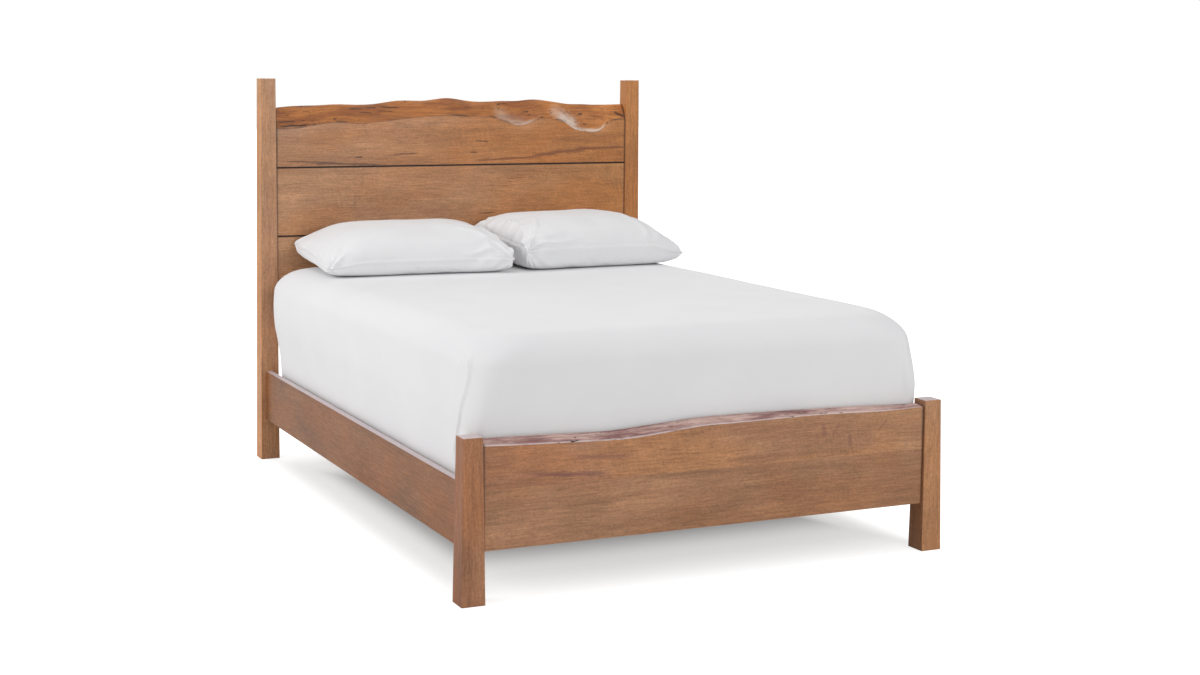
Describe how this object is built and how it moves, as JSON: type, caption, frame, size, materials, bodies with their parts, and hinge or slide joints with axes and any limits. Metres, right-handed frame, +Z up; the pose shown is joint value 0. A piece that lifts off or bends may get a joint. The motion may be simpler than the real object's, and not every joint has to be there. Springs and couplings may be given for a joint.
{
  "type": "panel bed",
  "caption": "Queen panel bed with live-edge headboard and footboard, tapered posts, slatted deck, mattress set, fitted sheet and pillows.",
  "frame": {"origin": "on the floor under the middle of the bed", "axes": "+X across the bed, +Y from the foot to the head, +Z up"},
  "size_m": [1.621, 2.159, 1.46],
  "materials": {
    "stained_maple": "satin",
    "plain_pine": "matte",
    "steel": "satin",
    "mattress_ticking": "matte",
    "foundation_cover": "matte",
    "sheet_cotton": "matte",
    "pillow_cotton": "matte"
  },
  "bodies": {
    "frame": {"centre_leg_1": "plain_pine", "centre_leg_2": "plain_pine", "footboard_live_edge_board": "stained_maple", "footboard_lower_board": "stained_maple", "footboard_post_left": "stained_maple", "footboard_post_right": "stained_maple", "footboard_spline": "stained_maple", "headboard_bottom_rail": "stained_maple", "headboard_live_edge_plank": "stained_maple", "headboard_lower_plank": "stained_maple", "headboard_middle_plank": "stained_maple", "headboard_post_left": "stained_maple", "headboard_post_right": "stained_maple", "headboard_spline_lower": "stained_maple", "headboard_spline_upper": "stained_maple", "hook_plate_footboard_left": "steel", "hook_plate_footboard_right": "steel", "hook_plate_headboard_left": "steel", "hook_plate_headboard_right": "steel", "rail_cleat_left": "plain_pine", "rail_cleat_right": "plain_pine", "side_rail_left": "stained_maple", "side_rail_right": "stained_maple", "slat_1": "plain_pine", "slat_2": "plain_pine", "slat_3": "plain_pine", "slat_4": "plain_pine", "slat_5": "plain_pine", "slat_6": "plain_pine", "slat_7": "plain_pine", "slot_plate_footboard_left": "steel", "slot_plate_footboard_right": "steel", "slot_plate_headboard_left": "steel", "slot_plate_headboard_right": "steel"},
    "foundation": {"box_spring": "foundation_cover"},
    "mattress": {"mattress": "mattress_ticking", "sheet": "sheet_cotton"},
    "pillow_left": {"pillow_left": "pillow_cotton"},
    "pillow_right": {"pillow_right": "pillow_cotton"}
  },
  "joints": [
    {"name": "foundation_lift", "type": "slide", "parent": "frame", "child": "foundation", "axis": [0, 0, 1], "range_m": [0, 0.3]},
    {"name": "mattress_lift", "type": "slide", "parent": "foundation", "child": "mattress", "axis": [0, 0, 1], "range_m": [0, 0.3]},
    {"name": "pillow_left_lift", "type": "slide", "parent": "mattress", "child": "pillow_left", "axis": [0, 0, 1], "range_m": [0, 0.3]},
    {"name": "pillow_right_lift", "type": "slide", "parent": "mattress", "child": "pillow_right", "axis": [0, 0, 1], "range_m": [0, 0.3]}
  ]
}
